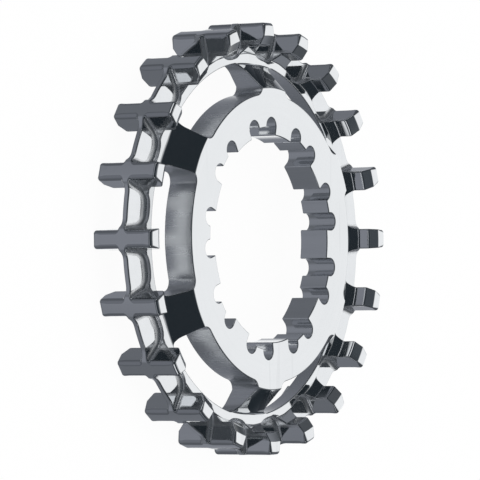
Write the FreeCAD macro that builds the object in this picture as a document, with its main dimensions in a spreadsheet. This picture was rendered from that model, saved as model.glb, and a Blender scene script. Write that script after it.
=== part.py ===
import FreeCAD, Part
import math
import os
import Sketcher
from FreeCAD import Vector

# Centre-track belt sprocket, one piece of steel.
# It lies flat: the bore axis is +Z and the hub's front face, which the lockring meets, is up.
# The origin is on the bore axis, in the middle of the belt width.

os.makedirs("parts", exist_ok=True)
doc = FreeCAD.newDocument("BeltSprocket")
sheet = doc.addObject("Spreadsheet::Sheet", "Dimensions")
dim = {}


def setDimension(alias, value, note):
    """Writes a row of the sheet, either a number or a formula on earlier rows."""
    row = len(dim) + 1
    sheet.set("A%d" % row, note)
    sheet.set("B%d" % row, str(value))
    sheet.setAlias("B%d" % row, alias)
    sheet.recompute()
    dim[alias] = float(sheet.get(alias))


# name: (value, what it is), lengths in mm, angles in degrees
dimensions = {
    "toothCount": (20, "teeth"),
    "beltPitch": (11, "pitch of the belt, along its pitch line"),
    "pitchLineOffset": (1.214, "tooth crest below the pitch line"),
    "ringHalfWidth": (5.37, "half of the tooth length along the axis"),
    "endFaceDepth": (2.05, "flat end of a tooth, down from the crest"),
    "noseLength": (1.12, "bevel of the tooth end along the axis"),
    "overhangDepth": (3.7, "underside of the tooth, down from the crest"),
    "rimHalfWidth": (1.4, "half of the rim thickness"),
    "shoulderRise": (1.2, "sloped shoulder under the tooth, along the axis from the rim face"),
    "shoulderDepth": (4.9, "foot of the shoulder, down from the crest"),
    "rimDepth": (6.5, "inside of the rim, down from the crest"),
    "gapDepth": (5.75, "bottom of a tooth gap, down from the crest"),
    "gapArc": (2.85, "round bottom of a tooth gap"),
    "flankAngle": (21.5, "tooth flank against the middle of the gap"),
    "finHalfWidth": (0.45, "half of the centre fin"),
    "finDrop": (0.8, "crest of the fin, down from the tooth crest"),
    "finSweep": (2.2, "fillet from the fin crest up to a tooth"),
    "finFootRadius": (1.45, "fillet at the foot of the fin, middle of the gap"),
    "flankFootRadius": (0.45, "the same fillet beside a tooth flank"),
    "footSectionCount": (2, "steps of the loft that forms the fillet"),
    "hubFront": (5.3, "front face of the hub"),
    "hubThickness": (5.0, "hub between its faces"),
    "hubRadius": (23.6, "front face of the hub"),
    "hubBackStep": (0.3, "back face of the hub beyond the front face"),
    "windowCount": (6, "windows between the spokes"),
    "windowInset": (0.95, "hub side of a window, inwards from the edge of the front face"),
    "spokeHalfAngle": (7.9, "half of a spoke"),
    "windowCorner": (1.6, "corner of a window"),
    "hubPhase": (-3, "windows and splines against the teeth"),
    "splineCount": (9, "grooves in the bore"),
    "boreTipRadius": (16.2, "land of an inner spline tooth"),
    "splineDepth": (1.2, "floor of a groove below the land"),
    "splineHalfWidth": (2.3, "half of an inner spline tooth"),
    "reliefRadius": (1.35, "round corner of a groove"),
    "reliefDepth": (1.0, "centre of the round corner below the land"),
    "clearance": (1.0, "how far the cuts start outside the metal"),
}
for alias, (value, note) in dimensions.items():
    setDimension(alias, value, note)

# The tooth count and the belt set the crest, and the teeth and the rim are measured down from it
formulas = {
    "crestRadius": ("toothCount * beltPitch / (2 * pi) - pitchLineOffset", "tooth crest"),
    "endFaceRadius": ("crestRadius - endFaceDepth", "inner edge of the tooth end face"),
    "noseHeight": ("ringHalfWidth - noseLength", "where the end bevel meets the underside"),
    "undersideRadius": ("crestRadius - overhangDepth", "underside of a tooth"),
    "shoulderRadius": ("crestRadius - shoulderDepth", "foot of the shoulder"),
    "shoulderHeight": ("rimHalfWidth + shoulderRise", "outer end of the shoulder"),
    "rimInnerRadius": ("crestRadius - rimDepth", "inside of the rim"),
    "gapBottomRadius": ("crestRadius - gapDepth", "bottom of a gap"),
    "gapArcCentre": ("gapBottomRadius + gapArc", "centre of the round bottom"),
    "flankOffset": ("gapArcCentre * sin(flankAngle) - gapArc", "bore axis to the plane of a flank"),
    "gapMouth": ("crestRadius + 2 * clearance", "outer end of the cuts"),
    "finCrestRadius": ("crestRadius - finDrop", "crest of the fin"),
    "hubBack": ("hubFront - hubThickness", "back face of the hub"),
    "hubBackRadius": ("hubRadius + hubBackStep", "edge of the back face"),
    "windowInnerRadius": ("hubRadius - windowInset", "hub side of a window"),
    "windowHalfAngle": ("180 / windowCount - spokeHalfAngle", "half of a window"),
    "splineHalfPitch": ("180 / splineCount", "land to groove"),
    "splineFloorRadius": ("boreTipRadius + splineDepth", "floor of a groove"),
    "reliefReach": ("boreTipRadius + reliefDepth", "centre of the round corner along the spline tooth"),
    "reliefPlace": ("hypot(reliefReach; splineHalfWidth + reliefRadius)", "the same from the bore axis"),
    "gapPhase": ("180 / toothCount", "middle of a tooth to middle of a gap"),
    "cutHeight": ("ringHalfWidth + clearance", "start of the cuts along the axis"),
}
for alias, (formula, note) in formulas.items():
    setDimension(alias, "=" + formula, note)


def planeOf(body, role):
    return next(f for f in body.Origin.OriginFeatures if f.Role == role)


def sketchOn(body, name, role, height=None, angle=None):
    """A sketch on an origin plane, lifted and turned by expressions of the sheet."""
    sketch = body.newObject("Sketcher::SketchObject", name)
    sketch.AttachmentSupport = [(planeOf(body, role), "")]
    sketch.MapMode = "FlatFace"
    if height:
        sketch.setExpression("AttachmentOffset.Base.z", height)
    if angle:
        sketch.setExpression("AttachmentOffset.Rotation.Angle", angle)
    doc.recompute()
    return sketch


def joinLoop(sketch, curves, smooth=()):
    """Adds the curves end to end and closes the loop, with a tangent joint after each one in smooth."""
    ids = [sketch.addGeometry(curve, False) for curve, reverse in curves]
    ends = [(2, 1) if reverse else (1, 2) for curve, reverse in curves]
    for k, current in enumerate(ids):
        following = (k + 1) % len(ids)
        joint = "Tangent" if k in smooth else "Coincident"
        sketch.addConstraint(Sketcher.Constraint(joint, current, ends[k][1], ids[following], ends[following][0]))
    return ids


def drive(sketch, name, expression, *constraint):
    """Adds a named constraint that follows the sheet."""
    index = sketch.addConstraint(Sketcher.Constraint(*constraint))
    sketch.renameConstraint(index, name)
    sketch.setExpression("Constraints." + name, expression)


def driveRadius(sketch, name, expression, curve):
    drive(sketch, name, expression, "Radius", curve, sketch.Geometry[curve].Radius)


def driveAngle(sketch, name, expression, curve):
    """Direction of a line, from its start to its end."""
    start, end = sketch.Geometry[curve].StartPoint, sketch.Geometry[curve].EndPoint
    drive(sketch, name, expression, "Angle", curve, math.atan2(end.y - start.y, end.x - start.x))


def driveFromAxis(sketch, name, expression, curve):
    """Distance of the bore axis from a line."""
    start, end = sketch.Geometry[curve].StartPoint, sketch.Geometry[curve].EndPoint
    away = abs(start.x * end.y - start.y * end.x) / math.hypot(end.x - start.x, end.y - start.y)
    drive(sketch, name, expression, "Distance", -1, 1, curve, away)


def driveX(sketch, name, expression, curve, end):
    drive(sketch, name, expression, "DistanceX", -1, 1, curve, end, sketch.getPoint(curve, end).x)


def centreOnAxis(sketch, *curves):
    for curve in curves:
        sketch.addConstraint(Sketcher.Constraint("Coincident", curve, 3, -1, 1))


def line(a, b, reverse=False):
    return Part.LineSegment(Vector(a[0], a[1], 0), Vector(b[0], b[1], 0)), reverse


def arc(centre, radius, start, end, reverse=False):
    """Counter-clockwise from start to end; reverse says that the loop runs through it backwards."""
    circle = Part.Circle(Vector(centre[0], centre[1], 0), Vector(0, 0, 1), radius)
    return Part.ArcOfCircle(circle, math.radians(start), math.radians(end)), reverse


def polar(radius, angle):
    return radius * math.cos(math.radians(angle)), radius * math.sin(math.radians(angle))


def angleOf(point, centre=(0, 0)):
    return math.degrees(math.atan2(point[1] - centre[1], point[0] - centre[0]))


def mirrored(point):
    return point[0], -point[1]


def moved(point, direction, distance):
    return point[0] + distance * direction[0], point[1] + distance * direction[1]


def polarPattern(body, name, originals, count):
    pattern = body.newObject("PartDesign::PolarPattern", name)
    if originals:
        pattern.Originals = originals
    else:
        pattern.TransformMode = "Whole shape"
    pattern.Axis = (planeOf(body, "Z_Axis"), [""])
    pattern.Angle = 360
    body.Tip = pattern
    pattern.setExpression("Occurrences", "Dimensions." + count)
    doc.recompute()
    return pattern


def cutThrough(body, name, sketch):
    pocket = body.newObject("PartDesign::Pocket", name)
    pocket.Profile = sketch
    pocket.Type = "ThroughAll"
    doc.recompute()
    return pocket


# The turned blank: hub disc, cone of the spokes, rim and tooth ring in one revolved section
sprocket = doc.addObject("PartDesign::Body", "Sprocket")
section = sketchOn(sprocket, "BlankSection", "XZ_Plane")
sectionPoints = [
    ("boreTipRadius", "hubBack", 1),
    ("boreTipRadius", "hubFront", 1),
    ("hubRadius", "hubFront", 1),
    ("rimInnerRadius", "rimHalfWidth", 1),
    ("shoulderRadius", "rimHalfWidth", 1),
    ("undersideRadius", "shoulderHeight", 1),
    ("undersideRadius", "noseHeight", 1),
    ("endFaceRadius", "ringHalfWidth", 1),
    ("crestRadius", "ringHalfWidth", 1),
    ("crestRadius", "ringHalfWidth", -1),
    ("endFaceRadius", "ringHalfWidth", -1),
    ("undersideRadius", "noseHeight", -1),
    ("undersideRadius", "shoulderHeight", -1),
    ("shoulderRadius", "rimHalfWidth", -1),
    ("rimInnerRadius", "rimHalfWidth", -1),
    ("hubBackRadius", "hubBack", 1),
]
corners = [(dim[r], side * dim[h]) for r, h, side in sectionPoints]
loop = joinLoop(section, [line(a, b) for a, b in zip(corners, corners[1:] + corners[:1])])
for k, (r, h, side) in enumerate(sectionPoints):
    radius, height = "Dimensions." + r, "%d * Dimensions.%s" % (side, h)
    drive(section, "radius%d" % k, radius, "DistanceX", -1, 1, loop[k], 1, corners[k][0])
    drive(section, "height%d" % k, height, "DistanceY", -1, 1, loop[k], 1, corners[k][1])
blank = sprocket.newObject("PartDesign::Revolution", "Blank")
blank.Profile = section
blank.ReferenceAxis = (section, ["V_Axis"])
blank.Angle = 360
doc.recompute()

# Windows: hub side and rim side are arcs about the axis, the ends are radial, the corners round
window = sketchOn(sprocket, "WindowOutline", "XY_Plane", "Dimensions.cutHeight", "Dimensions.hubPhase")
inner, outer = dim["windowInnerRadius"], dim["rimInnerRadius"]
corner, half = dim["windowCorner"], dim["windowHalfAngle"]
# each corner circle touches the radial end
innerTurn = half - math.degrees(math.asin(corner / (inner + corner)))
outerTurn = half - math.degrees(math.asin(corner / (outer - corner)))
innerCentre, outerCentre = polar(inner + corner, innerTurn), polar(outer - corner, outerTurn)
endStart = polar(math.sqrt((inner + corner) ** 2 - corner**2), half)
endStop = polar(math.sqrt((outer - corner) ** 2 - corner**2), half)
curves = [
    arc((0, 0), inner, -innerTurn, innerTurn, True),
    arc(mirrored(innerCentre), corner, 180 - innerTurn, 270 - half),
    line(mirrored(endStart), mirrored(endStop)),
    arc(mirrored(outerCentre), corner, 270 - half, 360 - outerTurn),
    arc((0, 0), outer, -outerTurn, outerTurn),
    arc(outerCentre, corner, outerTurn, 90 + half),
    line(endStart, endStop, True),
    arc(innerCentre, corner, 90 + half, 180 + innerTurn),
]
ids = joinLoop(window, curves, smooth=range(len(curves)))
centreOnAxis(window, ids[0], ids[4])
driveRadius(window, "hubSide", "Dimensions.windowInnerRadius", ids[0])
driveRadius(window, "rimSide", "Dimensions.rimInnerRadius", ids[4])
for k in (1, 3, 5, 7):
    driveRadius(window, "corner%d" % k, "Dimensions.windowCorner", ids[k])
for k, name, side in ((2, "endBefore", "-"), (6, "endAfter", "")):
    window.addConstraint(Sketcher.Constraint("PointOnObject", -1, 1, ids[k]))
    driveAngle(window, name, side + "Dimensions.windowHalfAngle", ids[k])
windowCut = cutThrough(sprocket, "Window", window)
windows = polarPattern(sprocket, "Windows", [windowCut], "windowCount")

# Bore: a groove has a narrow floor and a round relief in each corner
groovePhase = "Dimensions.hubPhase + Dimensions.splineHalfPitch"
groove = sketchOn(sprocket, "SplineGroove", "XY_Plane", "Dimensions.cutHeight", groovePhase)
floor, relief, side = dim["splineFloorRadius"], dim["reliefRadius"], dim["splineHalfWidth"]
turn = math.radians(dim["splineHalfPitch"])
landward, grooveward = (math.cos(turn), -math.sin(turn)), (math.sin(turn), math.cos(turn))


def besideLand(along, across):
    """A point given along and across the inner spline tooth before the groove."""
    return moved(moved((0, 0), landward, along), grooveward, across)


reliefCentre = besideLand(dim["reliefReach"], side + relief)
touch = besideLand(dim["reliefReach"], side)
insideRadius = dim["boreTipRadius"] - dim["clearance"]
inside = besideLand(math.sqrt(insideRadius**2 - side**2), side)
place = dim["reliefPlace"]
swing = math.degrees(math.acos((place**2 + floor**2 - relief**2) / (2 * place * floor)))
floorAngle = angleOf(reliefCentre) + swing
floorEnd = polar(floor, floorAngle)
curves = [
    line(inside, touch),
    arc(reliefCentre, relief, angleOf(touch, reliefCentre), angleOf(floorEnd, reliefCentre)),
    arc((0, 0), floor, floorAngle, -floorAngle),
    arc(mirrored(reliefCentre), relief, -angleOf(floorEnd, reliefCentre), -angleOf(touch, reliefCentre)),
    line(mirrored(inside), mirrored(touch), True),
    arc((0, 0), insideRadius, angleOf(inside), -angleOf(inside), True),
]
ids = joinLoop(groove, curves, smooth=(0, 3))
centreOnAxis(groove, ids[2], ids[5])
driveRadius(groove, "floor", "Dimensions.splineFloorRadius", ids[2])
driveRadius(groove, "inside", "Dimensions.boreTipRadius - Dimensions.clearance", ids[5])
for k, name, sign in ((0, "sideBefore", "-"), (4, "sideAfter", "")):
    driveAngle(groove, name, sign + "Dimensions.splineHalfPitch", ids[k])
    driveFromAxis(groove, name + "Offset", "Dimensions.splineHalfWidth", ids[k])
for k, name in ((1, "reliefBefore"), (3, "reliefAfter")):
    driveRadius(groove, name, "Dimensions.reliefRadius", ids[k])
    drive(groove, name + "Place", "Dimensions.reliefPlace", "Distance", -1, 1, ids[k], 3, place)
grooveCut = cutThrough(sprocket, "Groove", groove)
grooves = polarPattern(sprocket, "Splines", [grooveCut], "splineCount")

# Cutter for one tooth gap in front of the fin: round bottom and straight flanks that touch it.
# Near the fin it is a loft, so that its bottom and flanks run into the fin with a fillet.
lean = math.radians(dim["flankAngle"])
along, across = (math.cos(lean), math.sin(lean)), (-math.sin(lean), math.cos(lean))


def gapOutline(body, name, height, rise="0", spread="0"):
    """Outline of a gap whose bottom is raised and whose arc is grown by values of the sheet."""
    sketch = sketchOn(body, name, "XY_Plane", height, "Dimensions.gapPhase")
    bottomRise, arcGrowth = dim.get(rise, 0), dim.get(spread, 0)
    if rise in dim:
        rise, spread = "Dimensions." + rise, "Dimensions." + spread
    radius = dim["gapArc"] + arcGrowth
    centreX = dim["gapArcCentre"] + bottomRise + arcGrowth
    touch = (centreX + radius * across[0], radius * across[1])
    mouth = moved(touch, along, (dim["gapMouth"] - touch[0]) / along[0])
    curves = [
        line(touch, mouth, True),
        arc((centreX, 0), radius, 90 + dim["flankAngle"], 270 - dim["flankAngle"]),
        line(mirrored(touch), mirrored(mouth)),
        line(mirrored(mouth), mouth),
    ]
    ids = joinLoop(sketch, curves, smooth=(0, 1))
    sketch.addConstraint(Sketcher.Constraint("Symmetric", ids[0], 2, ids[2], 2, -1))
    sketch.addConstraint(Sketcher.Constraint("PointOnObject", ids[1], 3, -1))
    driveAngle(sketch, "flank", "Dimensions.flankAngle", ids[0])
    driveRadius(sketch, "bottom", "Dimensions.gapArc + %s" % spread, ids[1])
    driveX(sketch, "bottomCentre", "Dimensions.gapArcCentre + %s + %s" % (rise, spread), ids[1], 3)
    driveX(sketch, "mouth", "Dimensions.gapMouth", ids[0], 2)
    doc.recompute()
    return sketch


cutter = doc.addObject("PartDesign::Body", "GapCutter")
fullGap = gapOutline(cutter, "GapOutline", "Dimensions.rimHalfWidth")
gapBlock = cutter.newObject("PartDesign::Pad", "GapBlock")
gapBlock.Profile = fullGap
gapBlock.setExpression("Length", "Dimensions.cutHeight - Dimensions.rimHalfWidth")
doc.recompute()
# The sections share out evenly the turn of the large fillet between the fin and the rim face
footTurn = "acos(1 - (rimHalfWidth - finHalfWidth) / finFootRadius)"
sections = []
for k in range(dimensions["footSectionCount"][0]):
    turned = "%s * %d / footSectionCount" % (footTurn, k)
    names = ["foot%s%d" % (word, k) for word in ("Depth", "Rise", "Inset", "Spread")]
    depth, rise, inset, spread = names
    left = "max(flankFootRadius - %s; 0)" % depth
    setDimension(depth, "=finFootRadius * (1 - cos(%s))" % turned, "section %d above the fin" % k)
    setDimension(rise, "=finFootRadius * (1 - sin(%s))" % turned, "its bottom above the full gap")
    setDimension(inset, "=flankFootRadius - sqrt(flankFootRadius^2 - %s^2)" % left, "its flank inside the full gap")
    growth = "=(%s * sin(flankAngle) - %s) / (1 - sin(flankAngle))" % (rise, inset)
    setDimension(spread, growth, "its arc larger than that of the full gap")
    height = "Dimensions.finHalfWidth + Dimensions." + depth
    sections.append(gapOutline(cutter, "FootSection%d" % k, height, rise, spread))
sections.append(gapOutline(cutter, "FootEnd", "Dimensions.rimHalfWidth"))
gapFoot = cutter.newObject("PartDesign::AdditiveLoft", "GapFoot")
gapFoot.Profile = sections[0]
gapFoot.Sections = sections[1:]
gapFoot.Ruled = True
doc.recompute()

cutters = doc.addObject("PartDesign::Body", "GapCutters")
cutters.BaseFeature = cutter
doc.recompute()
bothSides = cutters.newObject("PartDesign::Mirrored", "BothSides")
bothSides.TransformMode = "Whole shape"
bothSides.MirrorPlane = (planeOf(cutters, "XY_Plane"), [""])
cutters.Tip = bothSides
doc.recompute()
polarPattern(cutters, "AllGaps", None, "toothCount")

gaps = sprocket.newObject("PartDesign::Boolean", "Gaps")
gaps.Type = "Cut"
gaps.addObjects([cutters])
sprocket.Tip = gaps
doc.recompute()

# Crest of the fin: round about the axis, sweeping up to the tooth on either side
crest = sketchOn(sprocket, "FinCrestOutline", "XY_Plane", "Dimensions.cutHeight", "Dimensions.gapPhase")
crestRadius, sweep = dim["finCrestRadius"], dim["finSweep"]
# the sweep circle touches the crest of the fin and the flank
sweepLean = math.degrees(math.asin((sweep + dim["flankOffset"]) / (crestRadius + sweep)))
sweepAngle = dim["flankAngle"] - sweepLean
sweepCentre = polar(crestRadius + sweep, sweepAngle)
sweepEnd = moved(sweepCentre, across, sweep)
crestMouth = moved(sweepEnd, along, dim["gapMouth"] - sweepEnd[0])
curves = [
    line(sweepEnd, crestMouth, True),
    arc(sweepCentre, sweep, 90 + dim["flankAngle"], 180 + sweepAngle),
    arc((0, 0), crestRadius, -sweepAngle, sweepAngle, True),
    arc(mirrored(sweepCentre), sweep, 180 - sweepAngle, 270 - dim["flankAngle"]),
    line(mirrored(sweepEnd), mirrored(crestMouth)),
    line(mirrored(crestMouth), crestMouth),
]
ids = joinLoop(crest, curves, smooth=range(4))
centreOnAxis(crest, ids[2])
driveRadius(crest, "finCrest", "Dimensions.finCrestRadius", ids[2])
for k, name in ((1, "sweepAfter"), (3, "sweepBefore")):
    driveRadius(crest, name, "Dimensions.finSweep", ids[k])
for k, name, sign in ((0, "flankAfter", ""), (4, "flankBefore", "-")):
    driveAngle(crest, name, sign + "Dimensions.flankAngle", ids[k])
    driveFromAxis(crest, name + "Offset", "Dimensions.flankOffset", ids[k])
    driveX(crest, name + "Mouth", "Dimensions.gapMouth", ids[k], 2)
crestCut = cutThrough(sprocket, "FinCrest", crest)
finCrests = polarPattern(sprocket, "FinCrests", [crestCut], "toothCount")

# Nothing is written unless every object and the solid are sound
for item in doc.Objects:
    if "Invalid" in item.State or "Error" in item.State:
        raise RuntimeError("%s did not build" % item.Name)
for earlier, later in ((blank, windows), (windows, grooves), (grooves, gaps), (gaps, finCrests)):
    if not later.Shape.Volume < earlier.Shape.Volume:
        raise RuntimeError("%s removed nothing" % later.Name)
part = sprocket.Shape
if part.isNull() or not part.isValid() or len(part.Solids) != 1:
    raise RuntimeError("the sprocket is not one sound solid")
part.exportStep("parts/sprocket.step")
print("volume", round(part.Volume, 1), "faces", len(part.Faces), "bounds", part.BoundBox)
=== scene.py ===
import math

import bpy
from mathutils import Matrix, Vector


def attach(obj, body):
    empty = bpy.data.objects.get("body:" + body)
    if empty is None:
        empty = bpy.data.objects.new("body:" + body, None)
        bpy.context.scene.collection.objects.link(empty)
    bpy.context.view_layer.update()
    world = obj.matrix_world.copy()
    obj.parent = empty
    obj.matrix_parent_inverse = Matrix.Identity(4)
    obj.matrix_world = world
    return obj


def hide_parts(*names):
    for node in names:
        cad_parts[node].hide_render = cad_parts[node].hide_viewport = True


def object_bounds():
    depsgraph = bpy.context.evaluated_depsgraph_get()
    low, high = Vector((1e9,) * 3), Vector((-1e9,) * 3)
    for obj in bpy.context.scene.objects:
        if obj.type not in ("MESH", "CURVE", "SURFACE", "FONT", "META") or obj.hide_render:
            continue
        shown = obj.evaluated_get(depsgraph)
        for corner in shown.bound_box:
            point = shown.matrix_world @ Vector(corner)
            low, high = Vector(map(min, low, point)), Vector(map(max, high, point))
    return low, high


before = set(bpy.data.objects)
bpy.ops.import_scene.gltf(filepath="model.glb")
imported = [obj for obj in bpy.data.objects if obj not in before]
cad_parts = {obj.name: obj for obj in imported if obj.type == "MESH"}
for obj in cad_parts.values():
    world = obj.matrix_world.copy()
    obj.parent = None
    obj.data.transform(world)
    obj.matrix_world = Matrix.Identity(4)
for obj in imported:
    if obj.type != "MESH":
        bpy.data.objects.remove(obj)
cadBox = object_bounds()

# Sizes are in mm here and turned into metres when the mesh is made.

seams = {"hubCircle": 20.0, "rimCircle": 27.95}  # where the parts of the mesh meet, at every whole degree
weld = {"perMm": 1000, "shift": 0.1234567}  # places in one cell are one point; no round size is near a limit
tiny = 1e-6  # mm or radians


def unit(v):
    length = math.sqrt(sum(c * c for c in v))
    return tuple(c / length for c in v)


def add(a, b, factor=1.0):
    return tuple(x + factor * y for x, y in zip(a, b))


def dot(a, b):
    return sum(x * y for x, y in zip(a, b))


def cross(a, b):
    return a[1] * b[2] - a[2] * b[1], a[2] * b[0] - a[0] * b[2], a[0] * b[1] - a[1] * b[0]


def mix(a, b, share):
    return a + (b - a) * share


def evenly(start, stop, steps):
    return [mix(start, stop, k / steps) for k in range(steps + 1)]


def turned(v, angle):
    c, s = math.cos(angle), math.sin(angle)
    return (c * v[0] - s * v[1], s * v[0] + c * v[1]) + tuple(v[2:])


def onCircle(radius, angle, height):
    return radius * math.cos(angle), radius * math.sin(angle), height


def seamLine(radius, stop, height):
    # places on a seam, at every whole degree from the x axis on
    return [onCircle(radius, math.radians(k), height) for k in range(round(math.degrees(stop)) + 1)]


def between(a, b, t):
    # direction between two directions, turning evenly
    angle = math.acos(max(-1.0, min(1.0, dot(a, b))))
    if angle < tiny:
        return a
    wa, wb = math.sin((1 - t) * angle) / math.sin(angle), math.sin(t * angle) / math.sin(angle)
    return unit(tuple(wa * x + wb * y for x, y in zip(a, b)))


def edgeRound(place, normalA, normalB, radius, steps):
    # points and normals of a rounded edge between two faces that meet at a place
    share = 1 + dot(normalA, normalB)
    centre = add(add(place, normalA, -radius / share), normalB, -radius / share)
    rounded = []
    for k in range(steps + 1):
        normal = between(normalA, normalB, k / steps)
        rounded.append((add(centre, normal, radius), normal))
    return rounded


def roundedLine(corners, radii, steps, side):
    # samples (place, normal) of a 2D line with rounded corners; side 1 has the air on the left
    directions = [unit(add(b, a, -1)) for a, b in zip(corners, corners[1:])]
    normals = [(-d[1] * side, d[0] * side) for d in directions]
    samples = [(corners[0], normals[0])]
    for k in range(1, len(corners) - 1):
        before, after, radius = directions[k - 1], directions[k], radii[k - 1]
        turn = math.acos(max(-1.0, min(1.0, dot(before, after))))
        start = add(corners[k], before, -radius * math.tan(turn / 2))
        bend = side if before[0] * after[1] - before[1] * after[0] > 0 else -side
        centre = add(start, normals[k - 1], radius * bend)
        for j in range(steps + 1):
            normal = between(normals[k - 1], normals[k], j / steps)
            samples.append((add(centre, normal, -radius * bend), normal))
    samples.append((corners[-1], normals[-1]))
    return samples


def lathed(lathe, angle):
    # normal of a turned face at an angle about the bore axis, from its outward and upward parts
    return lathe[0] * math.cos(angle), lathe[0] * math.sin(angle), lathe[1]


def fallNormal(place, fall, side):
    # normal of a face that falls outwards all round the bore axis
    return unit(lathed((fall, side), math.atan2(place[1], place[0])))


def rowToMiddle(start, end, lathe, middle, steps):
    # a turned face from a place on an edge to the radius and height in the middle of a tooth or spoke
    radius, angle = math.hypot(start[0], start[1]), math.atan2(start[1], start[0])
    row = []
    for t in evenly(0.0, 1.0, steps):
        turn = mix(angle, middle, t)
        row.append((onCircle(mix(radius, end[0], t), turn, mix(start[2], end[1], t)), lathed(lathe, turn)))
    return row


class Skin:
    # collects faces whose corners carry their own normals

    def __init__(self):
        self.index, self.points, self.faces, self.normals, self.finishes = {}, [], [], [], []
        self.finish = "turned"  # of the faces that come next

    def corner(self, place):
        key = tuple(round(c * weld["perMm"] + weld["shift"]) for c in place)
        if key not in self.index:
            self.index[key] = len(self.points)
            self.points.append(place)
        return self.index[key]

    def face(self, corners):
        kept = []
        for place, normal in corners:
            spot = self.corner(place)
            if not kept or (kept[-1][0] != spot and kept[0][0] != spot):
                kept.append((spot, normal))
        if len(kept) < 3:
            return
        area = facing = (0.0, 0.0, 0.0)
        before = self.points[kept[-1][0]]
        for spot, normal in kept:
            area = add(area, cross(before, self.points[spot]))
            facing = add(facing, normal)
            before = self.points[spot]
        if dot(area, facing) < 0:
            kept.reverse()
        self.faces.append([spot for spot, normal in kept])
        self.normals.extend(normal for spot, normal in kept)
        self.finishes.append(self.finish)

    def grid(self, rows):
        for upper, lower in zip(rows, rows[1:]):
            for k in range(len(upper) - 1):
                self.face([upper[k], upper[k + 1], lower[k + 1], lower[k]])

    def flat(self, outline, normal):
        self.face([(place, normal) for place in outline])

    def coned(self, outline, fall, side):
        self.face([(place, fallNormal(place, fall, side)) for place in outline])

    def copyFrom(self, other, angle=0.0, flipY=False, flipZ=False):
        # adds the faces of another skin, mirrored and turned about the bore axis

        def place(v):
            return turned((v[0], -v[1] if flipY else v[1], -v[2] if flipZ else v[2]), angle)

        at = 0
        for face, finish in zip(other.faces, other.finishes):
            normals = other.normals[at:at + len(face)]
            at += len(face)
            self.finish = finish
            self.face([(place(other.points[spot]), place(n)) for spot, n in zip(face, normals)])

    def mesh(self, name, finishNames):
        mesh = bpy.data.meshes.new(name)
        mesh.from_pydata([tuple(c / 1000 for c in p) for p in self.points], [], self.faces)
        mesh.polygons.foreach_set("use_smooth", [True] * len(mesh.polygons))
        mesh.polygons.foreach_set("material_index", [finishNames.index(finish) for finish in self.finishes])
        mesh.update()
        mesh.normals_split_custom_set([Vector(n) for n in self.normals])
        return mesh


# A quarter of a tooth gap: from its middle, on the x axis, to the middle of the next tooth, front side only.

toothRing = {
    "teeth": 20,
    "crest": 33.796,
    "halfWidth": 5.37,
    "endFace": 31.75,  # inner edge of the flat tooth end
    "endFaceEdge": 0.3,
    "nose": 4.5,  # where the bevelled end meets the underside
    "noseEdge": 0.55,
    "underside": 30.2,
    "undersideHollow": 0.25,  # hollow between the shoulder and the underside
    "shoulderTop": 2.5,
    "shoulderFoot": 29.1,
    "shoulderHollow": 0.35,  # hollow between the rim face and the shoulder
    "rimFace": 1.35,  # height at the seam, falling outwards
    "rimFall": 0.07,
    "gapBottom": 28.4,
    "gapCorner": 2.75,  # between the round bottom and the flank
    "flankAway": 3.172,  # bore axis to the plane of a flank
    "flankLean": 12.0,  # degrees
    "finFace": 0.45,  # half the thickness of the centre fin
    "finCrest": 33.0,
    "finSweep": 2.2,  # hollow sweep and small corner between the crests of fin and tooth
    "finCorner": 0.3,
    "footMiddle": 1.05,  # reach of the hollow at the foot, middle of a gap
    "footFlank": 0.95,  # the same beside a tooth
    "footHeight": 0.62,
    "edge": 0.17,  # broken edges
    "gapEdge": 0.1,  # the same on the round bottom
    "gapEdgeReach": 1.5,  # distance over which the one grows into the other
    "endEdge": 0.58,  # between the crest and the flat end
    "crestEdge": 0.72,  # long edges of the crest
    "crestEdgeReach": 1.0,
    "finEdge": 0.2,
    "profileSteps": 4,  # of the mesh, round a corner of the turned profile
    "edgeSteps": 5,
    "footSteps": 6,
    "sweepSteps": 12,
    "finCrestSteps": 8,
    "flankSteps": 8,
    "crestEdgeSteps": 4,
    "acrossSteps": 3,
    "trailSpacing": 0.2,  # between samples where the gap wall is round
    "bottomClear": 0.02,  # samples this near to the round bottom are left out
    "columnSpacing": 0.012,  # least distance between columns of the gap wall
}


def tilted(wall, out, up):
    # normal with one part the way a wall faces and one part straight up
    return wall[0] * out, wall[1] * out, up


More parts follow.
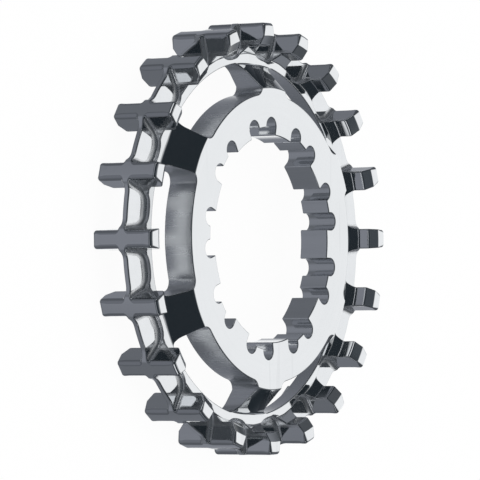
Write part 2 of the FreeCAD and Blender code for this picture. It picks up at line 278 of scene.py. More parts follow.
class ToothGap:
    # the walls of the gap; along and off are measured from the bore axis, along a flank and across it

    def __init__(self, v):
        self.v = v
        lean = math.radians(v["flankLean"])
        self.sinLean, self.cosLean = math.sin(lean), math.cos(lean)
        self.flankNormal = self.inPlane(0.0, 1.0) + (0.0,)
        self.centreAway = v["gapBottom"] + v["gapCorner"]
        centreOff = v["flankAway"] + v["gapCorner"]
        centreAlong = math.sqrt(self.centreAway**2 - centreOff**2)
        self.cornerCentre = self.inPlane(centreAlong, centreOff)
        self.touchRadius = math.hypot(centreAlong, v["flankAway"])  # the corner meets the flank

        # a small round corner and a hollow sweep lead from the crest of a tooth down to the crest of the fin
        sweepOff = v["flankAway"] + v["finSweep"]
        self.sweepCentre = (math.sqrt((v["finCrest"] + v["finSweep"]) ** 2 - sweepOff**2), sweepOff)
        far, near = math.hypot(*self.sweepCentre), v["crest"] - v["finCorner"]
        apart = v["finSweep"] + v["finCorner"]
        swing = math.acos((far**2 + near**2 - apart**2) / (2 * far * near))
        turn = math.atan2(sweepOff, self.sweepCentre[0]) - swing
        self.roundCentre = (near * math.cos(turn), near * math.sin(turn))
        self.roundStart = v["crest"] * math.sin(turn)
        self.roundStop = mix(sweepOff, self.roundCentre[1], v["finSweep"] / apart)

    def inPlane(self, along, off):
        return along * self.cosLean + off * self.sinLean, along * self.sinLean - off * self.cosLean

    def wallAt(self, radius):
        # foot of the gap wall at a distance from the bore axis, and the way it faces
        v = self.v
        if radius >= self.touchRadius:
            along = math.sqrt(radius**2 - v["flankAway"] ** 2)
            return self.inPlane(along, v["flankAway"]), self.flankNormal[:2]
        away, corner = self.centreAway, v["gapCorner"]
        cosine = (away**2 + corner**2 - radius**2) / (2 * away * corner)
        wall = turned(unit(self.cornerCentre), -math.acos(min(1.0, cosine)))
        return add(self.cornerCentre, wall, -corner), wall

    def riseAt(self, off):
        # the line from the crest of the tooth down to the fin, place and normal along and off the flank
        v = self.v
        if off <= self.roundStart:
            along = math.sqrt(v["crest"] ** 2 - off**2)
            return (along, off), (along / v["crest"], off / v["crest"])
        if off <= self.roundStop:
            along = self.roundCentre[0] + math.sqrt(v["finCorner"] ** 2 - (off - self.roundCentre[1]) ** 2)
            return (along, off), unit(add((along, off), self.roundCentre, -1))
        along = self.sweepCentre[0] - math.sqrt(v["finSweep"] ** 2 - (self.sweepCentre[1] - off) ** 2)
        return (along, off), unit(add(self.sweepCentre, (along, off), -1))

    def hollow(self, k, reach):
        # the oval hollow at the foot, k steps up from the fin: distance from the wall, height, normal parts
        theta = math.pi / 2 * k / self.v["footSteps"]
        up, out = reach * math.cos(theta), self.v["footHeight"] * math.sin(theta)
        size = math.hypot(up, out)
        height = self.v["finFace"] + self.v["footHeight"] * (1 - math.cos(theta))
        return reach * (1 - math.sin(theta)), height, out / size, up / size


def edgeSize(v, radius, height):
    # of the rounded edge between the turned skin and the gap wall
    if radius < v["endFace"]:
        return mix(v["gapEdge"], v["edge"], min(1.0, (radius - v["gapBottom"]) / v["gapEdgeReach"]))
    if radius < v["crest"] - tiny:
        return mix(v["edge"], v["endEdge"], (radius - v["endFace"]) / (v["crest"] - v["endFace"]))
    share = min(1.0, max(0.0, (v["halfWidth"] - v["endEdge"] - height) / v["crestEdgeReach"]))
    return mix(v["endEdge"], v["crestEdge"], share * share * (3 - 2 * share))


def turnedTrail(v, gap, seam):
    # the line where the turned skin meets the gap wall, divided finely where the wall is round
    seamToFoot = v["shoulderFoot"] - seam
    profile = roundedLine(
        [(seam, v["rimFace"]), (v["shoulderFoot"], v["rimFace"] - v["rimFall"] * seamToFoot),
         (v["underside"], v["shoulderTop"]), (v["underside"], v["nose"]), (v["endFace"], v["halfWidth"]),
         (v["crest"], v["halfWidth"]), (v["crest"], 0.0)],
        [v["shoulderHollow"], v["undersideHollow"], v["noseEdge"], v["endFaceEdge"], v["endEdge"]],
        v["profileSteps"], 1)
    trail = []
    for (a, normalA), (b, normalB) in zip(profile, profile[1:]):
        parts = max(1, math.ceil((b[0] - a[0]) / v["trailSpacing"])) if a[0] < gap.touchRadius else 1
        for k in range(parts):
            t = k / parts
            trail.append((mix(a[0], b[0], t), mix(a[1], b[1], t), between(normalA, normalB, t)))
    trail = [spot for spot in trail if spot[0] > v["gapBottom"] + v["bottomClear"]]
    first = v["rimFace"] - v["rimFall"] * (v["gapBottom"] - seam)
    trail.insert(0, (v["gapBottom"], first, trail[0][2]))
    for k in range(1, v["crestEdgeSteps"] + 1):  # the long edge of the crest widens over its first stretch
        depth = v["crestEdgeReach"] * k / v["crestEdgeSteps"]
        trail.append((v["crest"], v["halfWidth"] - v["endEdge"] - depth, (1.0, 0.0)))
    return trail


def trailSamples(v, gap, trail):
    # places on the trail, with the normals of both faces and the size of the edge, from the middle of the gap
    radius, height, lathe = trail[0]
    samples = [{"place": (radius, 0.0, height), "skin": (lathe[0], 0.0, lathe[1]), "wall": (1.0, 0.0, 0.0),
                "edge": edgeSize(v, radius, height)}]
    for radius, height, lathe in trail:
        (x, y), wall = gap.wallAt(radius)
        samples.append({"place": (x, y, height), "skin": lathed(lathe, math.atan2(y, x)),
                        "wall": wall + (0.0,), "edge": edgeSize(v, radius, height)})
    return samples


def finSamples(v, gap):
    # the samples go on from the crest of the tooth down the hollow foot, and along the fin back to the middle
    samples, up = [], (0.0, 0.0, 1.0)
    for k in range(v["footSteps"], -1, -1):
        away, height, outPart, upPart = gap.hollow(k, v["footFlank"])
        rise, normal = gap.riseAt(v["flankAway"] + away)
        samples.append({"place": gap.inPlane(*rise) + (height,), "skin": gap.inPlane(*normal) + (0.0,),
                        "wall": tilted(gap.flankNormal, outPart, upPart),
                        "edge": mix(v["finEdge"], v["crestEdge"], (k / v["footSteps"]) ** 2)})
    start = add(rise, gap.sweepCentre, -1)
    stopTurn = math.atan2(-gap.sweepCentre[1], -gap.sweepCentre[0])
    for turn in evenly(math.atan2(start[1], start[0]), stopTurn, v["sweepSteps"])[1:]:
        away = (math.cos(turn), math.sin(turn))
        place = gap.inPlane(*add(gap.sweepCentre, away, v["finSweep"])) + (v["finFace"],)
        samples.append({"place": place, "skin": gap.inPlane(-away[0], -away[1]) + (0.0,), "wall": up,
                        "edge": v["finEdge"]})
    for angle in evenly(math.atan2(place[1], place[0]), 0.0, v["finCrestSteps"])[1:]:
        samples.append({"place": onCircle(v["finCrest"], angle, v["finFace"]),
                        "skin": lathed((1.0, 0.0), angle), "wall": up, "edge": v["finEdge"]})
    return samples


def addTurnedSkin(skin, v, samples, rounds, halfPitch):
    # from the rounded edge across to the middle of the tooth, and down the crest to the middle plane
    rows = []
    for s, rounded in zip(samples, rounds):
        x, y, height = s["place"]
        around = math.atan2(y, x)
        lathe = (s["skin"][0] * math.cos(around) + s["skin"][1] * math.sin(around), s["skin"][2])
        end = (math.hypot(x, y), height)
        rows.append(rowToMiddle(rounded[0][0], end, lathe, halfPitch, v["acrossSteps"]))
    lastRow = rows[-1]
    for share in (0.5, 0.0):
        rows.append([((x, y, z * share), normal) for (x, y, z), normal in lastRow])
    skin.grid(rows)
    return [place for place, normal in rows[0]]


def addGapWall(skin, v, gap, rounds):
    # the hollow foot and the wall of the round bottom, as columns from the fin up to the edge
    columns = []
    radius = v["gapBottom"] - v["columnSpacing"]
    for k, rounded in enumerate(rounds):
        top = rounded[-1][0]
        if k == 0:  # middle of the gap
            (x, y), wall = top[:2], (1.0, 0.0)
        else:
            radius = max(radius + v["columnSpacing"], math.hypot(top[0], top[1]))
            (x, y), wall = gap.wallAt(radius)
        share = max(0.0, (gap.touchRadius - radius) / (gap.touchRadius - v["gapBottom"]))
        column = []
        for step in range(v["footSteps"] + 1):
            away, height, outPart, upPart = gap.hollow(step, mix(v["footFlank"], v["footMiddle"], share))
            column.append(((x + wall[0] * away, y + wall[1] * away, height),
                           tilted(wall, outPart, upPart)))
        columns.append(column + [(top, wall + (0.0,))])
        if radius >= gap.touchRadius:
            break
    skin.grid(columns)
    return columns, math.sqrt(radius**2 - v["flankAway"] ** 2)


def addFlankFoot(skin, v, gap, column, start, ends):
    # the hollow between the fin and the flank, out to the crest
    rows = []
    for k, end in enumerate(ends):
        away, height, outPart, upPart = gap.hollow(k, v["footFlank"])
        normal = tilted(gap.flankNormal, outPart, upPart)
        stop = end[0] * gap.cosLean + end[1] * gap.sinLean
        row = [column[k][0]]
        for along in evenly(start, stop, v["flankSteps"])[1:-1]:
            row.append(gap.inPlane(along, v["flankAway"] + away) + (height,))
        rows.append([(place, normal) for place in row + [end]])
    skin.grid(rows)
    return [place for place, normal in rows[0]], [place for place, normal in rows[-1]]


def makeToothQuarter(v, seam):
    skin, gap = Skin(), ToothGap(v)
    samples = trailSamples(v, gap, turnedTrail(v, gap, seam))
    crestAt = len(samples)
    samples += finSamples(v, gap)
    rounds = [edgeRound(s["place"], s["skin"], s["wall"], s["edge"], v["edgeSteps"]) for s in samples]
    skin.finish = "brokenEdgePaintedShade"
    skin.grid(rounds)

    skin.finish = "turned"
    halfPitch = math.pi / v["teeth"]
    toothFoot = addTurnedSkin(skin, v, samples[1:crestAt + 1], rounds[1:crestAt + 1], halfPitch)
    rimLine = seamLine(seam, halfPitch, v["rimFace"])
    skin.coned(rimLine + toothFoot[::-1] + [rounds[0][0][0]], v["rimFall"], 1.0)

    skin.finish = "milled"
    columns, flankStart = addGapWall(skin, v, gap, rounds[:crestAt])
    finAt = crestAt + v["footSteps"]
    wallEdge = [rounded[-1][0] for rounded in rounds]
    ends = wallEdge[crestAt:finAt + 1][::-1]
    finLine, flankLine = addFlankFoot(skin, v, gap, columns[-1], flankStart, ends)
    skin.finish = "faced"
    skin.flat([column[0][0] for column in columns] + finLine[1:] + wallEdge[finAt + 1:], (0.0, 0.0, 1.0))
    skin.flat(flankLine + wallEdge[len(columns) - 1:crestAt][::-1], gap.flankNormal)

    skin.finish = "turned"  # crest of the fin, down to the middle plane
    rows = []
    for rounded in rounds[crestAt:]:
        (x, y, z), normal = rounded[0]
        rows.append([((x, y, z * share), normal) for share in (1.0, 0.5, 0.0)])
    skin.grid(rows)
    return skin


# Half of a window and half of a spoke, front and back.

hubDisc = {
    "front": 5.3,  # heights of the hub faces over the middle plane
    "back": 0.3,
    "frontEdge": 23.6,  # where the slope of a spoke leaves each face
    "backEdge": 23.9,
    "rimInside": 27.65,
    "slopeFoot": 27.35,
    "footHollow": 0.7,  # hollow between the slope of a spoke and the rim
    "footTurn": 0.25,  # distance over which the slope's edge turns into that of the rim
    "windowInside": 22.65,
    "windows": 6,
    "spokeHalf": 7.9,  # degrees
    "windowCorner": 1.6,
    "phase": -3,  # degrees from the x axis to the middle of a window and of a land of the bore
    "edge": 0.16,
    "faceEdge": 0.25,  # between the face and the slope of a spoke
    "profileSteps": 4,  # of the mesh
    "edgeSteps": 3,
    "arcSteps": 14,  # along the inner and the outer wall of half a window
    "cornerSteps": 12,
    "cornerClear": 0.03,  # samples of a corner this near to an extra one are left out, in radians
    "spokeSteps": 6,
}


def windowCornerLine(v, centre, start, stop, radii):
    # places and normals round a corner of the window, with extra samples at some distances from the bore axis
    away, bearing = math.hypot(*centre), math.atan2(centre[1], centre[0])
    turns = evenly(start, stop, v["cornerSteps"])
    for radius in radii:
        cosine = (radius**2 - away**2 - v["windowCorner"] ** 2) / (2 * away * v["windowCorner"])
        extra = bearing + math.acos(cosine)
        turns = [t for t in turns if t in (start, stop) or abs(t - extra) > v["cornerClear"]] + [extra]
    line = []
    for angle in sorted(turns, reverse=start > stop):
        outward = (math.cos(angle), math.sin(angle))
        line.append((add(centre, outward, v["windowCorner"]), (-outward[0], -outward[1])))
    return line


def windowOutline(v, halfWindow, radii):
    # places, the ways the wall faces, and what lies beside it
    corner, inner, outer = v["windowCorner"], v["windowInside"], v["rimInside"]
    innerTurn = halfWindow - math.asin(corner / (inner + corner))
    outerTurn = halfWindow - math.asin(corner / (outer - corner))
    innerCentre = turned((inner + corner, 0.0), innerTurn)
    outerCentre = turned((outer - corner, 0.0), outerTurn)
    sideTurn = halfWindow + math.pi / 2
    outline = [(turned((inner, 0.0), angle), turned((1.0, 0.0), angle), "hub")
               for angle in evenly(0.0, innerTurn, v["arcSteps"])[:-1]]
    corners = windowCornerLine(v, innerCentre, innerTurn + math.pi, sideTurn, radii)
    corners += windowCornerLine(v, outerCentre, sideTurn, outerTurn, [])
    outline += [(place, wall, "spoke") for place, wall in corners]
    outline += [(turned((outer, 0.0), angle), turned((-1.0, 0.0), angle), "rim")
                for angle in evenly(outerTurn, 0.0, v["arcSteps"])[1:]]
    return outline


def heightAt(profile, radius):
    # height and normal of a turned profile at a distance from the bore axis
    for (a, normalA), (b, normalB) in zip(profile, profile[1:]):
        if a[0] - tiny <= radius <= b[0] + tiny and b[0] > a[0]:
            t = (radius - a[0]) / (b[0] - a[0])
            return mix(a[1], b[1], t), between(normalA, normalB, t)


def addHubSide(skin, v, ring, seam, outline, profile, side):
    # front (side 1) or back (side -1): edge of the window, spoke, hub face and rim face
    up = (0.0, 0.0, side)
    halfPart = math.pi / v["windows"]
    rounds, spokeRows = [], []
    for (x, y), wall, beside in outline:
        radius = math.hypot(x, y)
        height, lathe = heightAt(profile, min(radius, v["rimInside"]))
        normal = lathed(lathe, math.atan2(y, x))
        if beside == "rim":
            normal = fallNormal((x, y), ring["rimFall"], side)
        elif radius > v["rimInside"] - v["footTurn"]:
            normal = between(normal, up, min(1.0, (radius - v["rimInside"]) / v["footTurn"] + 1))
        rounds.append(edgeRound((x, y, height), normal, wall + (0.0,), v["edge"], v["edgeSteps"]))
        if beside == "spoke":
            start, end = rounds[-1][0][0], (radius, height)
            spokeRows.append(rowToMiddle(start, end, lathe, halfPart, v["spokeSteps"]))
    skin.finish = "brokenEdgePaintedShade"
    skin.grid(rounds)
    skin.finish = "turned"
    skin.grid(spokeRows)
    hubEdge, rimEdge = ([rounded[0][0] for rounded, spot in zip(rounds, outline) if spot[2] == beside]
                        for beside in ("hub", "rim"))
    inmost, outmost = ([place for place, normal in reversed(row)] for row in (spokeRows[0], spokeRows[-1]))
    hubLine = seamLine(seam["hubCircle"], halfPart, profile[0][0][1])
    skin.flat(hubLine + inmost + hubEdge[::-1], up)
    rimLine = seamLine(seam["rimCircle"], halfPart, ring["rimFace"] * side)
    skin.coned(rimLine + outmost + rimEdge, ring["rimFall"], side)
    return [rounded[-1] for rounded in rounds]


def makeHubPart(v, ring, seam):
    skin = Skin()
    rimEdge = ring["rimFace"] + ring["rimFall"] * (seam["rimCircle"] - v["rimInside"])
    profiles = []
    for face, edge, side in ((v["front"], v["frontEdge"], 1.0), (v["back"], v["backEdge"], -1.0)):
        line = [(seam["hubCircle"], face), (edge, face), (v["slopeFoot"], rimEdge * side),
                (v["rimInside"], rimEdge * side)]
        profiles.append((roundedLine(line, [v["faceEdge"], v["footHollow"]], v["profileSteps"], side), side))
    radii = sorted(place[0] for profile, side in profiles for place, normal in profile[1:-1])
    outline = windowOutline(v, math.pi / v["windows"] - math.radians(v["spokeHalf"]),
                            [radius for radius in radii if radius < v["backEdge"] + v["faceEdge"]])
    front, back = (addHubSide(skin, v, ring, seam, outline, profile, side) for profile, side in profiles)
    skin.finish = "window"
    skin.grid([[top, bottom] for top, bottom in zip(front, back)])
    return skin


# Half of a land and half of a groove of the bore, front and back.

splineBore = {
    "splines": 9,
    "land": 16.2,
    "floor": 17.4,
    "landHalf": 2.3,  # half the width of a land
    "reliefRadius": 1.35,
    "reliefReach": 17.2,  # how far out the centre of the relief lies
    "edge": 0.16,
    "cornerEdge": 0.2,
    "cornerClear": 1.05,  # samples nearer to a corner than this many times its round's reach are left out
    "landSteps": 8,  # of the mesh
    "reliefSteps": 24,
    "floorSteps": 6,
    "cornerSteps": 5,
    "edgeSteps": 3,
}


def boreOutline(v, halfPart):
    # land, relief and floor, with rounded corners between them
    centre = (v["reliefReach"], v["landHalf"] + v["reliefRadius"])
    away, bearing = math.hypot(*centre), math.atan2(centre[1], centre[0])
    swing = math.acos((away**2 + v["floor"] ** 2 - v["reliefRadius"] ** 2) / (2 * away * v["floor"]))
    floorPlace = turned((v["floor"], 0.0), bearing + swing)
    land = [(turned((v["land"], 0.0), angle), turned((-1.0, 0.0), angle))
            for angle in evenly(0.0, math.asin(v["landHalf"] / v["land"]), v["landSteps"])]
    stop = math.atan2(floorPlace[1] - centre[1], floorPlace[0] - centre[0])
    relief = [(land[-1][0], (0.0, 1.0))]  # the flat side of the land comes first
    for angle in evenly(-math.pi / 2, stop, v["reliefSteps"]):
        outward = (math.cos(angle), math.sin(angle))
        relief.append((add(centre, outward, v["reliefRadius"]), (-outward[0], -outward[1])))
    floor = [(turned((v["floor"], 0.0), angle), turned((-1.0, 0.0), angle))
             for angle in evenly(bearing + swing, halfPart, v["floorSteps"])]

    outline = land
    for piece in (relief, floor):
        place, before, after = piece[0][0], outline[-1][1], piece[0][1]
        clear = v["cornerClear"] * v["cornerEdge"] * math.tan(math.acos(dot(before, after)) / 2)
        while len(outline) > 1 and math.dist(outline[-1][0], place) < clear:
            outline.pop()
        outline += edgeRound(place, before, after, v["cornerEdge"], v["cornerSteps"])
        outline += [spot for spot in piece if math.dist(spot[0], place) >= clear]
    return outline


def makeBorePart(v, hub, seam):
    skin = Skin()
    halfPart = math.pi / v["splines"]
    outline = boreOutline(v, halfPart)
    walls = []
    for height, side in ((hub["front"], 1.0), (hub["back"], -1.0)):
        up = (0.0, 0.0, side)
        rounds = [edgeRound(place + (height,), up, wall + (0.0,), v["edge"], v["edgeSteps"])
                  for place, wall in outline]
        skin.finish = "brokenEdgePaintedShade"
        skin.grid(rounds)
        skin.finish = "turned"
        skin.flat(seamLine(seam["hubCircle"], halfPart, height) + [r[0][0] for r in reversed(rounds)], up)
        walls.append([r[-1] for r in rounds])
    skin.finish = "broached"
    skin.grid([[top, bottom] for top, bottom in zip(*walls)])
    return skin


# Finishes of the steel. Lines are per metre, shade and depth are shares of the full effect.

finishes = {
    "turned": {"color": (0.80, 0.812, 0.822), "rough": 0.045, "roughSpread": 0.03,
               "lines": 5200.0, "depth": 0.03, "shade": 0.03},
    "faced": {"color": (0.79, 0.803, 0.815), "rough": 0.05, "roughSpread": 0.03,
              "lines": 3300.0, "depth": 0.04, "shade": 0.05},
    "milled": {"color": (0.80, 0.812, 0.825), "rough": 0.26, "roughSpread": 0.06,
               "lines": 3300.0, "depth": 0.08, "shade": 0.10},
    "broached": {"color": (0.78, 0.793, 0.806), "rough": 0.10, "roughSpread": 0.04,
                 "lines": 3600.0, "depth": 0.07, "shade": 0.12},
    "window": {"color": (0.69, 0.705, 0.72), "rough": 0.26, "roughSpread": 0.05,
               "lines": 1900.0, "depth": 0.03, "shade": 0.10},
    # the rounded edges are real broken edges; their darker colour is painted shade, drawing dark lines along
    # every edge
    "brokenEdgePaintedShade": {"color": (0.54, 0.555, 0.57), "rough": 0.10, "roughSpread": 0.08,
                   "lines": 2400.0, "depth": 0.08, "shade": 0.10},
}

wear = {
    "dull": (0.50, 0.515, 0.53),  # where a mark or a smudge dulls the steel
    "smudge": 0.05,
    "scratch": 0.10,
    "smudgeSize": 90.0,  # smudges and scratches per metre
    "scratchSize": 700.0,
    "scratchTurn": (0.5, 0.35, 0.8),  # radians
    "scratchStretch": (1.0, 0.05, 0.3),
    "smudgeLimits": (0.42, 0.72),  # of the noise, where a mark begins and is full
    "scratchLimits": (0.66, 0.72),
    "lineLimits": (0.38, 0.62),
    "broadLines": 0.21,  # the wider lines beside the fine ones: how many, and their share of the height
    "broadShare": 0.55,
    "ringStretch": 0.0006,  # how little a line changes along its way
    "streakStretch": 0.02,
    "lineRough": 0.6,  # share of the lines in the spread of roughness, the rest is smudges
    "markDistance": 0.00002,  # metres
}


def link(tree, source, target):
    tree.links.new(source, target)


def node(tree, kind, **settings):
    made = tree.nodes.new(kind)
    for name, value in settings.items():
        setattr(made, name, value)
    return made


def feed(tree, socket, value):
    if isinstance(value, (int, float)):
        socket.default_value = value
    elif isinstance(value, tuple):
        socket.default_value = value if len(value) == len(socket.default_value) else value + (1.0,)
    else:
        link(tree, value, socket)


def maths(tree, operation, *values):
    made = node(tree, "ShaderNodeMath", operation=operation)
    for socket, value in zip(made.inputs, values):
        feed(tree, socket, value)
    return made.outputs[0]


def ease(tree, value, start, stop):
    # from 0 to 1 between two limits
    made = node(tree, "ShaderNodeMapRange", interpolation_type="SMOOTHSTEP")
    for name, amount in (("Value", value), ("From Min", start), ("From Max", stop)):
        feed(tree, made.inputs[name], amount)
    return made.outputs["Result"]


def blend(tree, valueA, shareA, valueB, shareB):
    # sum of two values by their shares
    partA, partB = maths(tree, "MULTIPLY", valueA, shareA), maths(tree, "MULTIPLY", valueB, shareB)
    return maths(tree, "ADD", partA, partB)


def blendColor(tree, share, colorA, colorB):
    made = node(tree, "ShaderNodeMix", data_type="RGBA")
    for index, value in ((0, share), (6, colorA), (7, colorB)):
        feed(tree, made.inputs[index], value)
    return made.outputs[2]


def startGroup(name, inputs, outputs):
    # an empty node group with named sockets
    tree = bpy.data.node_groups.new(name, "ShaderNodeTree")
    for way, sockets in (("INPUT", inputs), ("OUTPUT", outputs)):
        for socket in sockets:
            tree.interface.new_socket(socket, in_out=way, socket_type="NodeSocketFloat")
    return tree, node(tree, "NodeGroupInput").outputs, node(tree, "NodeGroupOutput").inputs


def noise(tree, vector, scale, detail, roughness=0.55):
    made = node(tree, "ShaderNodeTexNoise")
    for name, value in (("Vector", vector), ("Scale", scale), ("Detail", detail), ("Roughness", roughness)):
        feed(tree, made.inputs[name], value)
    return made.outputs["Fac"]


def makeLineGroup(name, aroundBore):
    # fine parallel marks: rings about the bore axis, or streaks along it
    tree, given, result = startGroup(name, ["Lines"], ["Height", "Shade"])
    split = node(tree, "ShaderNodeSeparateXYZ")
    link(tree, node(tree, "ShaderNodeTexCoord").outputs["Object"], split.inputs[0])
    x, y, z = split.outputs
    if aroundBore:
        square = maths(tree, "ADD", maths(tree, "MULTIPLY", x, x), maths(tree, "MULTIPLY", y, y))
        around = maths(tree, "MULTIPLY", maths(tree, "ARCTAN2", y, x), wear["ringStretch"])
        parts = (maths(tree, "SQRT", square), z, around)
    else:
        parts = (x, y, maths(tree, "MULTIPLY", z, wear["streakStretch"]))
    joined = node(tree, "ShaderNodeCombineXYZ")
    for socket, value in zip(joined.inputs, parts):
        feed(tree, socket, value)
    fine = noise(tree, joined.outputs[0], given["Lines"], detail=2.0)
    broadLines = maths(tree, "MULTIPLY", given["Lines"], wear["broadLines"])
    broad = noise(tree, joined.outputs[0], broadLines, detail=1.0)
    height = blend(tree, fine, 1 - wear["broadShare"], broad, wear["broadShare"])
    link(tree, height, result["Height"])
    link(tree, ease(tree, height, *wear["lineLimits"]), result["Shade"])
    return tree


def makeHandlingGroup():
    # faint smudges and hairline scratches from handling
    tree, given, result = startGroup("handlingMarks", ["Smudge Size", "Scratch Size"], ["Smudge", "Scratch"])
    place = node(tree, "ShaderNodeTexCoord").outputs["Object"]
    smudge = noise(tree, place, given["Smudge Size"], detail=4.0)
    link(tree, ease(tree, smudge, *wear["smudgeLimits"]), result["Smudge"])
    stretched = node(tree, "ShaderNodeMapping")
    stretched.inputs["Rotation"].default_value = wear["scratchTurn"]
    stretched.inputs["Scale"].default_value = wear["scratchStretch"]
    link(tree, place, stretched.inputs["Vector"])
    hair = noise(tree, stretched.outputs[0], given["Scratch Size"], detail=1.0)
    link(tree, ease(tree, hair, *wear["scratchLimits"]), result["Scratch"])
    return tree


def useGroup(tree, group, **values):
    placed = node(tree, "ShaderNodeGroup", node_tree=group)
    for name, value in values.items():
        placed.inputs[name.replace("_", " ")].default_value = value
    return placed.outputs


def makeSteel(name, v, lines, handling):
    material = bpy.data.materials.new(name + "Steel")
    material.use_nodes = True
    tree = material.node_tree
    shader = tree.nodes["Principled BSDF"]
    shader.inputs["Metallic"].default_value = 1.0
    marks = useGroup(tree, lines, Lines=v["lines"])
    touched = useGroup(tree, handling, Smudge_Size=wear["smudgeSize"], Scratch_Size=wear["scratchSize"])
    dull = blend(tree, marks["Shade"], v["shade"], touched["Smudge"], wear["smudge"])
    dull = maths(tree, "ADD", dull, maths(tree, "MULTIPLY", touched["Scratch"], wear["scratch"]))
    link(tree, blendColor(tree, dull, v["color"], wear["dull"]), shader.inputs["Base Color"])
    rough = blend(tree, marks["Shade"], wear["lineRough"], touched["Smudge"], 1 - wear["lineRough"])
    rough = maths(tree, "ADD", maths(tree, "MULTIPLY", rough, v["roughSpread"]), v["rough"])
    link(tree, rough, shader.inputs["Roughness"])
    bump = node(tree, "ShaderNodeBump")
    bump.inputs["Strength"].default_value = v["depth"]
    bump.inputs["Distance"].default_value = wear["markDistance"]
    link(tree, marks["Height"], bump.inputs["Height"])
    link(tree, bump.outputs[0], shader.inputs["Normal"])
    return material


def makeSprocket():
    whole = Skin()
    tooth = makeToothQuarter(toothRing, seams["rimCircle"])
    pitch = 2 * math.pi / toothRing["teeth"]
    for k in range(toothRing["teeth"]):
        for flipY in (False, True):
            for flipZ in (False, True):
                whole.copyFrom(tooth, (k + 0.5) * pitch, flipY, flipZ)
    print("tooth ring:", len(whole.faces), "faces")
    hubPart = makeHubPart(hubDisc, toothRing, seams)
    borePart = makeBorePart(splineBore, hubDisc, seams)
    phase = math.radians(hubDisc["phase"])
    for part, count in ((hubPart, hubDisc["windows"]), (borePart, splineBore["splines"])):
        for k in range(count):
            for flipY in (False, True):
                whole.copyFrom(part, phase + k * 2 * math.pi / count, flipY)
    print("whole sprocket:", len(whole.faces), "faces,", len(whole.points), "points")
    body = bpy.data.objects.new("sprocketBody", whole.mesh("sprocketBody", list(finishes)))
    bpy.context.scene.collection.objects.link(body)
    rings, streaks = makeLineGroup("turningRings", True), makeLineGroup("toolStreaks", False)
    handling = makeHandlingGroup()
    for name, v in finishes.items():
        lines = rings if name == "turned" else streaks
        body.data.materials.append(makeSteel(name, v, lines, handling))
    print("steel finishes:", ", ".join(finishes))
    return body


# The studio: camera, pale floor, plain white light, and what the polished steel mirrors.

studio = {
    "cameraPlace": (-0.594842, -0.006935, 0.387539),  # metres
    "cameraTurn": (1.88683, -56.84944, -1.59651),  # degrees, rolled so that the part stands upright
    "lens": 339.36,  # mm, as the sensor is
    "sensor": 36.0,
    "clip": (0.01, 50.0),  # metres
    "floorSize": 4.0,
    "floorColor": (0.97, 0.97, 0.97),
    "floorWhite": 0.95,  # share of the floor that is plain white to the camera, the rest takes the shadow
    "below": (0.150, 0.160, 0.180),  # what the steel mirrors under the horizon
    "belowNear": (0.235, 0.247, 0.280),  # the same towards the camera and away from it
    "cameraSide": (-0.35, -0.8),  # parts of a direction between which a colour comes in
    "farSide": (0.1, 0.75),
    "horizon": (-0.35, 0.02),
    "above": (0.019, 0.025, 0.031),  # the dark room over it
}

# Soft patches that the steel mirrors, painted one over the other. x, side and z are parts of a direction,
# side is the same left and right. Four numbers give where a patch begins, is full, is still full and ends,
# and two numbers where it begins and is full.
mirrored = {
    "walls": {"color": (0.20, 0.212, 0.235), "z": (0.07, 0.16, 0.28, 0.42)},
    "nearWall": {"color": (0.27, 0.285, 0.315), "x": (-0.35, -0.65), "z": (0.03, 0.14, 0.34, 0.46)},
    "sideGlow": {"color": (0.082, 0.090, 0.100), "x": (0.25, 0.42), "side": (0.38, 0.48),
                 "z": (0.28, 0.42, 0.74, 0.84)},
    "ceiling": {"color": (0.062, 0.072, 0.083), "z": (0.82, 0.87)},
    "cameraSideLamps": {"color": (0.95, 0.97, 1.0), "x": (-0.62, -0.50, -0.23, -0.15), "side": (0.70, 0.75),
                        "z": (0.30, 0.36, 0.56, 0.61)},
    "glow": {"color": (0.42, 0.43, 0.44), "x": (0.05, 0.35), "side": (0.44, 0.30),
             "z": (0.62, 0.76, 0.90, 0.97)},
    "card": {"color": (1.0, 1.01, 1.02), "x": (0.1, 0.3), "side": (0.32, 0.20), "z": (0.76, 0.64)},
    "cardOnFloor": {"color": (1.0, 1.01, 1.02), "x": (0.1, 0.3), "side": (0.46, 0.24), "z": (-0.05, -0.20)},
}


def makeCamera(v):
    camera = bpy.data.objects.new("camera", bpy.data.cameras.new("camera"))
    camera.data.sensor_width = v["sensor"]
    camera.data.lens = v["lens"]
    camera.data.clip_start, camera.data.clip_end = v["clip"]
    camera.location = v["cameraPlace"]
    camera.rotation_euler = [math.radians(a) for a in v["cameraTurn"]]
    bpy.context.scene.collection.objects.link(camera)
    bpy.context.scene.camera = camera
    print("camera in place")


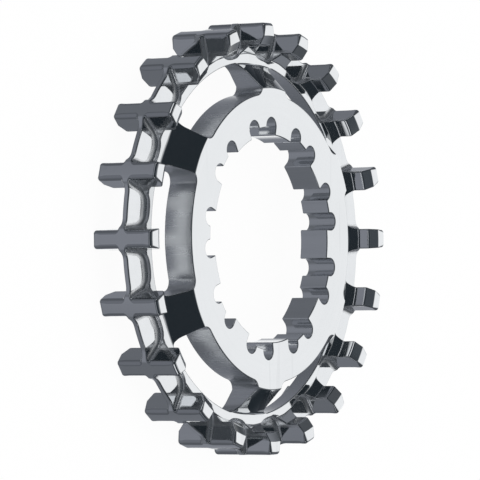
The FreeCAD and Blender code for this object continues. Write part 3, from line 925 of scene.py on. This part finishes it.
def makeFloor(v):
    half, low = v["floorSize"] / 2, cadBox[0][2]
    mesh = bpy.data.meshes.new("floor")
    corners = [(x * half, y * half, low) for x, y in ((-1, -1), (1, -1), (1, 1), (-1, 1))]
    mesh.from_pydata(corners, [], [(0, 1, 2, 3)])
    floor = bpy.data.objects.new("floor", mesh)
    bpy.context.scene.collection.objects.link(floor)
    material = bpy.data.materials.new("paleFloor")
    material.use_nodes = True
    tree = material.node_tree
    tree.nodes.clear()
    out = node(tree, "ShaderNodeOutputMaterial")
    matt = node(tree, "ShaderNodeBsdfDiffuse")
    matt.inputs["Color"].default_value = v["floorColor"] + (1.0,)
    white = node(tree, "ShaderNodeEmission")
    clear = node(tree, "ShaderNodeBsdfTransparent")
    path = node(tree, "ShaderNodeLightPath")
    mixed, through = node(tree, "ShaderNodeMixShader"), node(tree, "ShaderNodeMixShader")
    link(tree, maths(tree, "MULTIPLY", path.outputs["Is Camera Ray"], v["floorWhite"]), mixed.inputs[0])
    link(tree, matt.outputs[0], mixed.inputs[1])
    link(tree, white.outputs[0], mixed.inputs[2])
    link(tree, path.outputs["Is Glossy Ray"], through.inputs[0])
    link(tree, mixed.outputs[0], through.inputs[1])
    link(tree, clear.outputs[0], through.inputs[2])
    link(tree, through.outputs[0], out.inputs["Surface"])
    floor.data.materials.append(material)
    print("floor laid at", round(low * 1000, 2), "mm")


def within(tree, value, limits):
    # 1 inside the limits, easing to 0 at their ends
    share = ease(tree, value, limits[0], limits[1])
    if len(limits) == 4:
        share = maths(tree, "MULTIPLY", share, ease(tree, value, limits[3], limits[2]))
    return share


def makeWorld(v):
    world = bpy.data.worlds.new("studio")
    bpy.context.scene.world = world
    world.use_nodes = True
    tree = world.node_tree
    tree.nodes.clear()
    out = node(tree, "ShaderNodeOutputWorld")
    plain, seen = node(tree, "ShaderNodeBackground"), node(tree, "ShaderNodeBackground")
    mixed = node(tree, "ShaderNodeMixShader")
    plain.inputs["Color"].default_value = (1.0, 1.0, 1.0, 1.0)
    split = node(tree, "ShaderNodeSeparateXYZ")
    link(tree, node(tree, "ShaderNodeTexCoord").outputs["Generated"], split.inputs[0])
    x, y, z = split.outputs
    parts = {"x": x, "side": maths(tree, "ABSOLUTE", y), "z": z}
    # grey under the horizon, lighter near the camera and opposite it, and a dark room above
    below = blendColor(tree, ease(tree, x, *v["cameraSide"]), v["below"], v["belowNear"])
    below = blendColor(tree, ease(tree, x, *v["farSide"]), below, v["belowNear"])
    color = blendColor(tree, ease(tree, z, *v["horizon"]), below, v["above"])
    for patch in mirrored.values():
        share = 1.0
        for part in ("x", "side", "z"):
            if part in patch:
                share = maths(tree, "MULTIPLY", within(tree, parts[part], patch[part]), share)
        color = blendColor(tree, share, color, patch["color"])
    link(tree, color, seen.inputs["Color"])
    link(tree, node(tree, "ShaderNodeLightPath").outputs["Is Glossy Ray"], mixed.inputs[0])
    link(tree, plain.outputs[0], mixed.inputs[1])
    link(tree, seen.outputs[0], mixed.inputs[2])
    link(tree, mixed.outputs[0], out.inputs["Surface"])
    print("studio light, mirrored:", ", ".join(mirrored))


makeCamera(studio)
makeFloor(studio)
makeWorld(studio)
bpy.context.scene.view_settings.view_transform = "Standard"

sprocketBody = makeSprocket()
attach(sprocketBody, "root")
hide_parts("sprocket")
